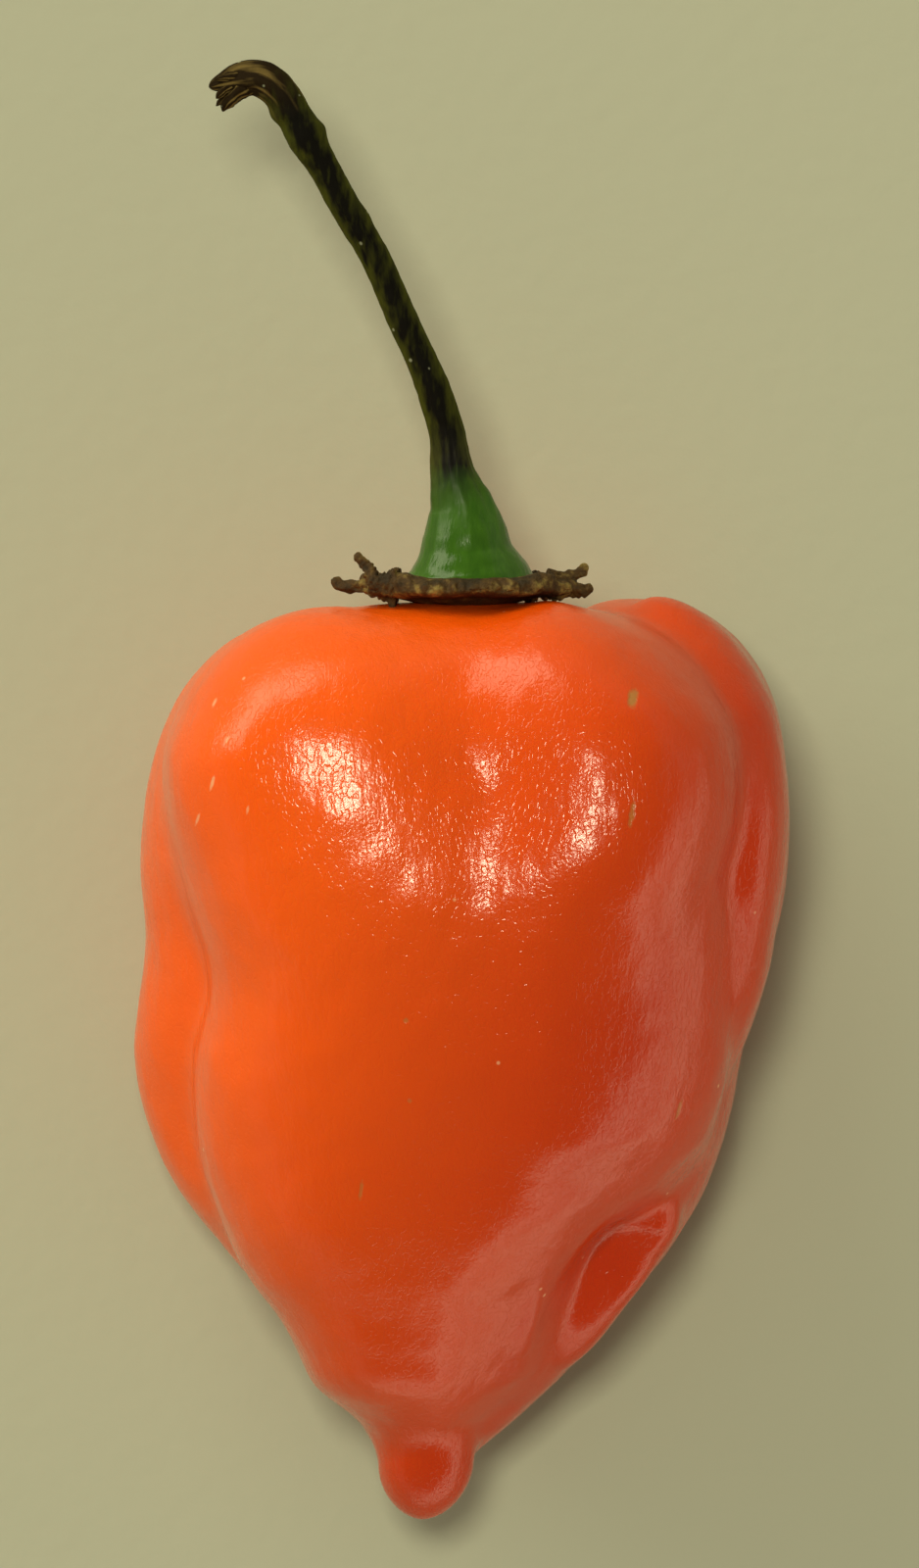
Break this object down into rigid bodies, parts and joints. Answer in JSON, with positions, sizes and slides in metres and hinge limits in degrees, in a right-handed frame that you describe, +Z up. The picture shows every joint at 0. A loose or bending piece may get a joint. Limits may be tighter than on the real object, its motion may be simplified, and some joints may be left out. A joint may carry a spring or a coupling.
{
  "type": "chilli pepper",
  "caption": "Ripe lobed habanero-type chilli pepper lying on its side, with its dried calyx frill and a thin hooked stalk.",
  "frame": {"origin": "bottom centre of the bounding box of the whole chilli, on the surface it lies on", "axes": "+Z up, +Y from the tip towards the stalk, +X to the right seen from above with the stalk at the top"},
  "size_m": [0.0354, 0.0786, 0.0297],
  "materials": {
    "skin": "glossy waxy ripe orange-red skin",
    "dried_calyx": "matt dry brown papery tissue",
    "stalk": "satin dark green, drying to brown at the picked end"
  },
  "bodies": {
    "root": {"fruit": "skin", "calyx": "dried_calyx", "stem": "stalk"}
  },
  "joints": []
}
